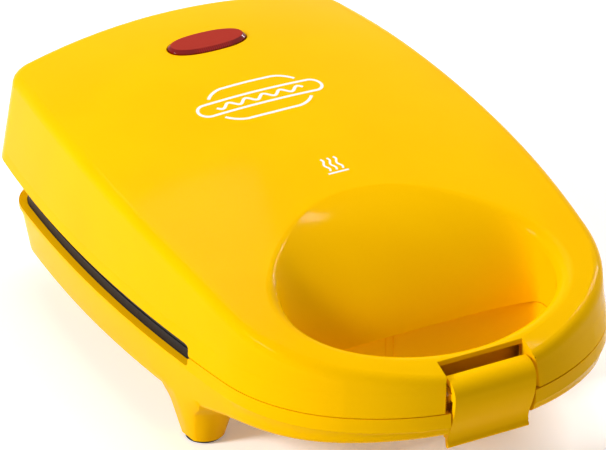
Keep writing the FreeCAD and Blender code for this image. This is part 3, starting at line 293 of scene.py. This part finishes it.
sheath = Paint("element sheath", SHEATH, 0.42, Metallic=1.0)
tint = sheath.ramp(sheath.noise(60.0, 3.0), 0.35, 0.7)
sheath.feed("Base Color", sheath.blend(tint, SHEATH_BROWN, SHEATH_BLUE))
sheath.bump(sheath.noise(1500.0), 0.01 * MM, 0.3)
saddle_steel = turned("saddle steel", SADDLE_STEEL, 0.32)
rolled = Paint("rolled aluminium", ALUMINIUM, 0.22, Metallic=1.0)
rolling_lines = rolled.noise(500.0, 3.0, ROLLING_STRETCH)
rolled.feed("Roughness", 0.15 + 0.16 * rolling_lines)
rolled.bump(rolling_lines, 0.008 * MM, 0.3)
for half in ("lower", "upper"):
    coat(half + "_heating_element", sheath)
    coat(half + "_element_clips", saddle_steel)
    coat(half + "_heat_shield", rolled)

# ---- Terminals and cord inlet --------------------------------------------------------------------------
# A three-way terminal block in cream plastic on the floor of the base, and the black rubber grommet in
# the rear wall where the lead comes in.
CREAM = (0.68, 0.65, 0.55)
GROMMET_BLACK = (0.014, 0.014, 0.014)

cream = Paint("cream plastic", CREAM, 0.55)
cream.bump(cream.noise(1800.0), 0.02 * MM, 0.3)
coat("terminal_block", cream)
grommet = Paint("grommet rubber", GROMMET_BLACK, 0.65, Specular_IOR_Level=0.3)
grommet.feed("Roughness", 0.5 + 0.3 * grommet.noise(900.0, 3.0))
grommet.bump(grommet.noise(1900.0), 0.03 * MM, 0.4)
coat("cord_gland", grommet)

# ---- Hinge pins ----------------------------------------------------------------------------------------
# Two headed steel pins at the rear, pushed through the base's lugs and the lid's knuckles, which the lid
# turns on.
PIN_STEEL = (0.66, 0.66, 0.68)

pin_steel = turned("pin steel", PIN_STEEL, 0.25)
coat("hinge_pins", pin_steel)

# ---- Thermostat and fuse -------------------------------------------------------------------------------
# A disc thermostat in a pressed aluminium case with a two-eared bracket, and a one-shot thermal fuse,
# both on the back of the upper plate.
PRESSED_ALUMINIUM = (0.72, 0.71, 0.68)
FUSE_CASE = (0.7, 0.64, 0.52)

coat("thermostat", turned("pressed aluminium", PRESSED_ALUMINIUM, 0.34))
coat("thermal_fuse", turned("fuse case", FUSE_CASE, 0.3))

# ---- Upper housing -------------------------------------------------------------------------------------
# The lid: one injection moulding in the same yellow with a domed top, a scooped finger opening, a pocket
# for the clip at its nose and a flared lip along the side slots. An oval hole near the rear takes the
# lamp's lens. It is reshaped here to a slimmer oval, a little further back.
CORNER_RADIUS = 0.25 * MM
SHARP_CORNER = 35.0                   # corners sharper than this many degrees are rounded
SHORTEST_CORNER = 0.45 * MM
FIRST_HOLE = (17.85 * MM, 10.65 * MM)  # half its width and half its length, before it is reshaped
FIRST_HOLE_Y = 87.35 * MM
LENS_HALF = (17.65 * MM, 8.0 * MM)
LENS_Y = 91.75 * MM
LENS_GAP = 0.4 * MM
SQUARENESS = 2.3                      # 2 is an ellipse
HOLE_RIM = 0.02                       # how far from the oval a point may lie and still be on the rim
CROWN_LOWEST = 90 * MM
CROWN_X = 20.5 * MM                   # just beside the hole
CROWN_FACING = 0.9                    # faces of the crown face up at least this much
ABOVE_ALL = 0.3


def oval_reach(across, along):
    """1 on the oval, less inside it."""
    return (abs(across) ** SQUARENESS + abs(along) ** SQUARENESS) ** (1 / SQUARENESS)


def crown_at(lid, y):
    """Height of the lid's top beside the lamp."""
    return lid.ray_cast(Vector((CROWN_X, y, ABOVE_ALL)), Vector((0, 0, -1)))[1].z


def spot(vertex):
    """A vertex's place, rounded so that it can be looked up."""
    return tuple(round(c, 7) for c in vertex.co)


def rounded(piece):
    """Rounds the sharp corners of a merged moulding, apart from the shortest."""
    skin = piece.data
    sides = {}
    for face in skin.polygons:
        for key in face.edge_keys:
            sides.setdefault(key, []).append(face.normal)
    weight = skin.attributes.new("bevel_weight_edge", "FLOAT", "EDGE")
    for line in skin.edges:
        start, end = (skin.vertices[index].co for index in line.vertices)
        met = sides[line.key]
        if (start - end).length > SHORTEST_CORNER and len(met) == 2:
            if met[0].angle(met[1], 0.0) > math.radians(SHARP_CORNER):
                weight.data[line.index].value = 1.0
    apply_modifier(piece, "BEVEL", width=CORNER_RADIUS, segments=1, limit_method="WEIGHT",
                   use_clamp_overlap=False, miter_outer="MITER_SHARP")
    exact_again(piece)


upper = merged("upper_shell", "upper_housing")
skin = upper.data
rim = set()
for vertex in skin.vertices:
    across, along = vertex.co.x / FIRST_HOLE[0], (vertex.co.y - FIRST_HOLE_Y) / FIRST_HOLE[1]
    if abs(oval_reach(across, along) - 1.0) < HOLE_RIM and vertex.co.z > CROWN_LOWEST:
        y = LENS_Y + along * (LENS_HALF[1] + LENS_GAP)
        rise = crown_at(nodes["upper_shell"], y) - crown_at(nodes["upper_shell"], vertex.co.y)
        vertex.co = (across * (LENS_HALF[0] + LENS_GAP), y, vertex.co.z + rise)
        rim.add(vertex.index)

# The faces of the crown that touch the hole are taken out, filled anew and given their directions back.
exact = skin.attributes["exact"].data
facing = {}
for face in skin.polygons:
    faces_up = any(exact[corner].vector.z > CROWN_FACING for corner in face.loop_indices)
    face.select = faces_up and not rim.isdisjoint(face.vertices)
    if face.select:
        for corner, index in zip(face.loop_indices, face.vertices):
            facing[spot(skin.vertices[index])] = exact[corner].vector.copy()
pick_only(upper)
bpy.ops.object.mode_set(mode="EDIT")
bpy.ops.mesh.delete(type="FACE")
bpy.ops.mesh.select_mode(type="EDGE")
bpy.ops.mesh.select_non_manifold(extend=False)
bpy.ops.mesh.fill(use_beauty=True)
bpy.ops.mesh.select_mode(type="FACE")
bpy.ops.object.mode_set(mode="OBJECT")
filled = {face.index for face in skin.polygons if face.select}
for face in skin.polygons:
    face.select = face.select and face.normal.z < 0
bpy.ops.object.mode_set(mode="EDIT")
bpy.ops.mesh.flip_normals()
bpy.ops.mesh.select_all(action="DESELECT")
bpy.ops.object.mode_set(mode="OBJECT")
exact = skin.attributes["exact"].data
for face in skin.polygons:
    if face.index in filled:
        for corner, index in zip(face.loop_indices, face.vertices):
            exact[corner].vector = facing[spot(skin.vertices[index])]
rounded(upper)
dress(upper, yellow, "lid", "upper_shell")

# ---- Lamp ----------------------------------------------------------------------------------------------
# An oval lens moulded in clear red plastic: its flat face is finely textured, its bevelled rim is
# polished and has fine ribs at the front. Behind it a bracket holds a small neon lamp and its resistor.
LENS_PROUD, LENS_BEVEL, LENS_DEEP = 1.9 * MM, 1.3 * MM, 5.0 * MM
LENS_EDGE, FACE_FADE = 0.22 * MM, 0.05 * MM
LENS_INSET = 0.5 * MM
LENS_SIDES = 112
FACES_UP = 0.99
TOP_FACE = 1e-5                       # the lens's top face is larger than this, in square metres
RIB_SCALE = 330.0
RIBS_WIDE, RIBS_FULL, RIBS_FRONT = 10.0 * MM, 5.0 * MM, 3.0 * MM
LENS_RED, FACE_RED = (0.4, 0.03, 0.02), (0.37, 0.03, 0.018)
RIM_DARK, RIM_RED = (0.2, 0.001, 0.0), (0.4, 0.008, 0.004)
BRACKET, GLASS, SLEEVE = (0.62, 0.6, 0.52), (0.95, 0.8, 0.7), (0.5, 0.38, 0.22)

lens_top = crown_at(upper, LENS_Y) + LENS_PROUD
bpy.ops.object.select_all(action="DESELECT")
bpy.ops.mesh.primitive_circle_add(vertices=LENS_SIDES, radius=1.0, fill_type="NGON",
                                  location=(0, LENS_Y, lens_top))
lens = bpy.context.object
lens.name = "lens"
bpy.ops.object.transform_apply(location=True)
for vertex in lens.data.vertices:
    across, along = vertex.co.x, vertex.co.y - LENS_Y
    reach = oval_reach(across, along)
    vertex.co.x = across / reach * LENS_HALF[0]
    vertex.co.y = LENS_Y + along / reach * LENS_HALF[1]
bpy.ops.object.mode_set(mode="EDIT")
bpy.ops.mesh.select_all(action="SELECT")
bpy.ops.mesh.extrude_region_move(TRANSFORM_OT_translate={"value": (0, 0, -LENS_DEEP)})
bpy.ops.mesh.select_all(action="SELECT")
bpy.ops.mesh.normals_make_consistent(inside=False)
bpy.ops.mesh.select_mode(type="FACE")
bpy.ops.mesh.select_all(action="DESELECT")
bpy.ops.object.mode_set(mode="OBJECT")
for face in lens.data.polygons:
    face.select = face.normal.z > FACES_UP
bpy.ops.object.mode_set(mode="EDIT")
bpy.ops.mesh.bevel(offset=LENS_BEVEL, segments=1)
bpy.ops.mesh.select_all(action="DESELECT")
bpy.ops.object.mode_set(mode="OBJECT")
apply_modifier(lens, "BEVEL", width=LENS_EDGE, segments=2, limit_method="ANGLE",
               angle_limit=math.radians(25))
for face in lens.data.polygons:
    face.select = face.normal.z > FACES_UP and face.area > TOP_FACE
bpy.ops.object.mode_set(mode="EDIT")
bpy.ops.mesh.inset(thickness=LENS_INSET)
bpy.ops.object.mode_set(mode="OBJECT")
bpy.ops.object.shade_smooth_by_angle(angle=math.radians(30))
apply_modifier(lens, "WEIGHTED_NORMAL", weight=60, keep_sharp=True)

red = Paint("red lens", LENS_RED, 0.3, Specular_IOR_Level=0.03, Coat_Roughness=0.05)
x, y, z = red.axes()
on_face = red.ramp(z, lens_top - LENS_EDGE, lens_top - FACE_FADE)
waves = red.node("ShaderNodeTexWave", {}, dict(Vector=red.place, Scale=RIB_SCALE))
ribs = Value(red, waves.outputs["Fac"])
in_middle = red.ramp(x * x, RIBS_WIDE ** 2, RIBS_FULL ** 2) * red.ramp(y, LENS_Y, LENS_Y - RIBS_FRONT)
rim_color = red.blend(red.ramp(ribs, 0.4, 0.8) * in_middle, RIM_DARK, RIM_RED)
red.feed("Base Color", red.blend(on_face, rim_color, FACE_RED))
red.feed("Roughness", 0.07 + 0.5 * on_face)
red.feed("Coat Weight", 0.4 * (1.0 - on_face))
red.bump(red.noise(1700.0, 3.0) * on_face, 0.1 * MM, 0.7)
dress(lens, red, "lid", "lamp_lens")

bracket = Paint("bracket plastic", BRACKET, 0.5)
bracket.bump(bracket.noise(1800.0), 0.02 * MM, 0.3)
coat("lamp_holder", bracket)
glass = Paint("lamp glass", GLASS, 0.05, Transmission_Weight=0.8)
glass.feed("Roughness", 0.04 + 0.06 * glass.noise(600.0))
coat("lamp_bulb", glass)
sleeve = Paint("resistor sleeve", SLEEVE, 0.6)
sleeve.bump(sleeve.noise(1500.0, 3.0), 0.03 * MM, 0.4)
coat("lamp_resistor", sleeve)

# ---- Printed marks -------------------------------------------------------------------------------------
# White marks pad-printed on the lid: a line drawing of a sausage in a bun, and the usual sign for a hot
# surface, three wavy lines over a bar. The film of ink is a few hundredths of a millimetre thick.
INK_WHITE = (0.86, 0.86, 0.84)
INK_LIFT, INK_FILM = 0.03 * MM, 0.03 * MM
DRAWING_HEIGHT = 0.2                  # the marks are drawn flat above the lid and then laid on it
BUN_PLACE = Vector((-1.3, 43.15)) * MM
BUN_SIZE, BUN_OPEN = (46 * MM, 26 * MM), 6.6 * MM
SAUSAGE_SIZE = (58 * MM, 10 * MM)
LINE = 1.3 * MM
END_SIDES, ON_AXIS = 40, 0.001 * MM
STRAIGHT_SIDE, STRAIGHT_CUTS = 5.0 * MM, 16   # edges longer than this are the straight sides
MUSTARD_START, MUSTARD_STEP, MUSTARD_ROWS = 20 * MM, 0.5 * MM, 80
MUSTARD_SWAY, MUSTARD_TURNS = 1.5 * MM, 5
HEAT_PLACE = Vector((1.65, -15.45)) * MM
HEAT_SPACING, HEAT_STEP, HEAT_ROWS = 2.9 * MM, 0.35 * MM, 24
HEAT_SWAY, HEAT_TURNS, HEAT_LINE = 0.55 * MM, 1.5, 0.9 * MM
BAR_START, BAR_STEP, BAR_ROWS = Vector((-4.65, -1.6)) * MM, 0.775 * MM, 12

ink = Paint("white ink", INK_WHITE, 0.45, Specular_IOR_Level=0.2)
ink.feed("Roughness", 0.4 + 0.15 * ink.noise(900.0, 3.0))
ink.bump(ink.noise(2400.0), 0.005 * MM, 0.3)


def print_on_lid(piece, name):
    """Lays a flat mark on the lid and gives it the thickness of the ink."""
    piece.name = name
    apply_modifier(piece, "SHRINKWRAP", target=upper, wrap_method="PROJECT", use_project_z=True,
                   use_negative_direction=True, use_positive_direction=False, offset=INK_LIFT)
    apply_modifier(piece, "SOLIDIFY", thickness=INK_FILM, offset=1.0)
    dress(piece, ink, "lid")


def round_ended(centre, size, stroke):
    """The outline of a round-ended bar, drawn as a flat closed line."""
    length, height = size
    bpy.ops.object.select_all(action="DESELECT")
    bpy.ops.mesh.primitive_circle_add(vertices=END_SIDES, radius=height / 2, fill_type="NGON",
                                      location=(*centre, DRAWING_HEIGHT))
    piece = bpy.context.object
    bpy.ops.object.transform_apply(location=True)
    for vertex in piece.data.vertices:
        off_centre = vertex.co.x - centre.x
        if abs(off_centre) > ON_AXIS:
            vertex.co.x += math.copysign((length - height) / 2, off_centre)
    bpy.ops.object.mode_set(mode="EDIT")
    bpy.ops.mesh.select_all(action="SELECT")
    bpy.ops.mesh.select_mode(type="FACE")
    bpy.ops.mesh.inset(thickness=stroke)
    bpy.ops.mesh.delete(type="FACE")
    bpy.ops.mesh.select_mode(type="EDGE")
    bpy.ops.mesh.select_all(action="DESELECT")
    bpy.ops.object.mode_set(mode="OBJECT")
    for edge in piece.data.edges:
        start, end = (piece.data.vertices[index].co for index in edge.vertices)
        edge.select = (start - end).length > STRAIGHT_SIDE
    bpy.ops.object.mode_set(mode="EDIT")
    bpy.ops.mesh.subdivide(number_cuts=STRAIGHT_CUTS)
    bpy.ops.mesh.select_mode(type="FACE")
    bpy.ops.mesh.select_all(action="DESELECT")
    bpy.ops.object.mode_set(mode="OBJECT")
    return piece


def wavy(start, step, rows, sway, turns, stroke):
    """A wavy line of constant width that climbs from its start by a step for each row."""
    bpy.ops.object.select_all(action="DESELECT")
    bpy.ops.mesh.primitive_grid_add(x_subdivisions=1, y_subdivisions=rows, size=1.0,
                                    location=(0, 0, DRAWING_HEIGHT))
    piece = bpy.context.object
    bpy.ops.object.transform_apply(location=True)
    go = Vector(step)
    side = Vector((go.y, -go.x)).normalized()
    for vertex in piece.data.vertices:
        row = (vertex.co.y + 0.5) * rows
        phase = 2 * math.pi * turns * row / rows
        slope = sway * math.cos(phase) * 2 * math.pi * turns / rows / go.length
        lean = (side - go.normalized() * slope) / math.sqrt(1 + slope * slope)
        at = start + go * row + side * sway * math.sin(phase) + lean * stroke * vertex.co.x
        vertex.co.x, vertex.co.y = at
    return piece


bun = round_ended(BUN_PLACE, BUN_SIZE, LINE)
for face in bun.data.polygons:
    face.select = abs(face.center.y - BUN_PLACE.y) < BUN_OPEN
pick_only(bun)
bpy.ops.object.mode_set(mode="EDIT")
bpy.ops.mesh.delete(type="FACE")
bpy.ops.object.mode_set(mode="OBJECT")
print_on_lid(bun, "printed_bun")
print_on_lid(round_ended(BUN_PLACE, SAUSAGE_SIZE, LINE), "printed_sausage")
mustard = wavy(BUN_PLACE - Vector((MUSTARD_START, 0)), (MUSTARD_STEP, 0), MUSTARD_ROWS, MUSTARD_SWAY,
               MUSTARD_TURNS, LINE)
print_on_lid(mustard, "printed_mustard")

heat_line = wavy(HEAT_PLACE, (0, HEAT_STEP), HEAT_ROWS, HEAT_SWAY, HEAT_TURNS, HEAT_LINE)
for count in (1, 2, 3):
    copy = bpy.data.objects.new("heat line", heat_line.data.copy())
    scene.collection.objects.link(copy)
    for vertex in copy.data.vertices:
        vertex.co.x += (count - 2) * HEAT_SPACING
    print_on_lid(copy, "printed_heat_line_%d" % count)
bpy.data.objects.remove(heat_line)
print_on_lid(wavy(HEAT_PLACE + BAR_START, (BAR_STEP, 0), BAR_ROWS, 0.0, 1, HEAT_LINE), "printed_heat_bar")

# ---- Clip ----------------------------------------------------------------------------------------------
# The sprung clip at the nose, moulded in the same yellow, which hooks under the base. It turns on a plain
# steel pin across the lid's pocket.
clip = merged("latch_clip", "clip")
rounded(clip)
dress(clip, yellow, "latch", "latch_clip")
coat("latch_pin", pin_steel)

# ---- Camera --------------------------------------------------------------------------------------------
# A long lens about two metres away, to the front left of the toaster and well above the table. It is
# placed so that the nose of the seam falls on a given pixel.
TURN, TILT = math.radians(29.072), math.radians(28.183)
FOCAL_PIXELS, PIXELS_PER_METRE = 5000.0, 2600.0
IMAGE_WIDTH, IMAGE_HEIGHT = 606, 450
NOSE_PIXEL = (496.35, 403.94)
NOSE = Vector((0.0, -0.14365, 0.046))
SENSOR_WIDTH = 36.0

rightward = Vector((math.cos(TURN), -math.sin(TURN), 0.0))
ahead = Vector((math.sin(TURN) * math.cos(TILT), math.cos(TURN) * math.cos(TILT), -math.sin(TILT)))
upward = rightward.cross(ahead)
stand = NOSE - ahead * (FOCAL_PIXELS / PIXELS_PER_METRE)
stand -= rightward * ((NOSE_PIXEL[0] - IMAGE_WIDTH / 2) / PIXELS_PER_METRE)
stand -= upward * ((IMAGE_HEIGHT / 2 - NOSE_PIXEL[1]) / PIXELS_PER_METRE)
camera_data = bpy.data.cameras.new("camera")
camera_data.sensor_width = SENSOR_WIDTH
camera_data.lens = FOCAL_PIXELS * SENSOR_WIDTH / IMAGE_WIDTH
camera_data.clip_end = 60.0
camera = bpy.data.objects.new("camera", camera_data)
scene.collection.objects.link(camera)
camera.matrix_world = Matrix.Translation(stand) @ Matrix((rightward, upward, -ahead)).transposed().to_4x4()
scene.camera = camera
scene.view_settings.view_transform = "Standard"

# ---- Floor and light -----------------------------------------------------------------------------------
# A plain white floor, an even white surround and soft lamps: the main one from the left, a narrow one on
# the right and a wide one behind and above. Floor and surround look white to the eye, to gloss and to
# glass, but light the toaster less. The floor glows a little, and more where the lamps don't reach.
FLOOR_SIZE = 30.0
FLOOR_WHITE, FLOOR_BOUNCE = (0.96, 0.96, 0.96), (0.85, 0.85, 0.85, 1.0)
GLOW_NEAR, GLOW_FAR = (0.2, 0.2, 0.2), (0.85, 0.85, 0.85)
NEAR_SQUARED, FAR_SQUARED = 0.3, 4.0
SURROUND_SEEN, SURROUND_LIGHT = (1.0, 1.0, 1.0, 1.0), (0.17, 0.17, 0.17, 1.0)
AIM = Vector((0.0, 0.0, 0.04))


def seen_or_lit(shading, output, seen, lit):
    """Joins what the eye, gloss and glass see to what lights the toaster."""
    rays = shading.node("ShaderNodeLightPath", {}, {}).outputs
    share = Value(shading, rays["Is Camera Ray"])
    for ray in ("Is Glossy Ray", "Is Transmission Ray"):
        share = share.larger(rays[ray])
    choice = shading.node("ShaderNodeMixShader", {}, {0: share, 1: lit.outputs[0], 2: seen.outputs[0]})
    shading.join(choice.outputs[0], shading.tree.nodes[output].inputs["Surface"])


bpy.ops.object.select_all(action="DESELECT")
bpy.ops.mesh.primitive_plane_add(size=FLOOR_SIZE)
floor = bpy.context.object
floor.name = "floor"
white_floor = Paint("white floor", FLOOR_WHITE, 0.9, Specular_IOR_Level=0.0, Emission_Strength=1.0)
x, y = white_floor.axes()[:2]
far_off = white_floor.ramp(x * x + y * y, NEAR_SQUARED, FAR_SQUARED)
white_floor.feed("Emission Color", white_floor.blend(far_off, GLOW_NEAR, GLOW_FAR))
white_floor.feed("Roughness", 0.85 + 0.1 * white_floor.noise(3.0))
bounce = white_floor.node("ShaderNodeBsdfDiffuse", {}, dict(Color=FLOOR_BOUNCE))
seen_or_lit(white_floor, "Material Output", white_floor.shader, bounce)
floor.data.materials.append(white_floor.material)

surround = bpy.data.worlds.new("surround")
scene.world = surround
surround.use_nodes = True
sky = Shading(surround.node_tree)
white = sky.node("ShaderNodeBackground", {}, dict(Color=SURROUND_SEEN))
glow = sky.node("ShaderNodeBackground", {}, dict(Color=SURROUND_LIGHT))
seen_or_lit(sky, "World Output", white, glow)


def lamp(name, place, size, watts):
    """A soft rectangular lamp that faces the toaster."""
    data = bpy.data.lights.new(name, "AREA")
    data.shape = "RECTANGLE"
    data.size, data.size_y = size
    data.energy = watts
    made = bpy.data.objects.new(name, data)
    scene.collection.objects.link(made)
    made.location = place
    made.rotation_euler = (AIM - made.location).to_track_quat("-Z", "Y").to_euler()


lamp("left", place=(-1.6, 0.02, 1.0), size=(0.4, 0.4), watts=31.0)
lamp("right strip", place=(1.18, 0.32, 1.03), size=(0.08, 1.2), watts=15.0)
lamp("above", place=(0.2, 1.0, 1.8), size=(1.0, 1.0), watts=12.0)
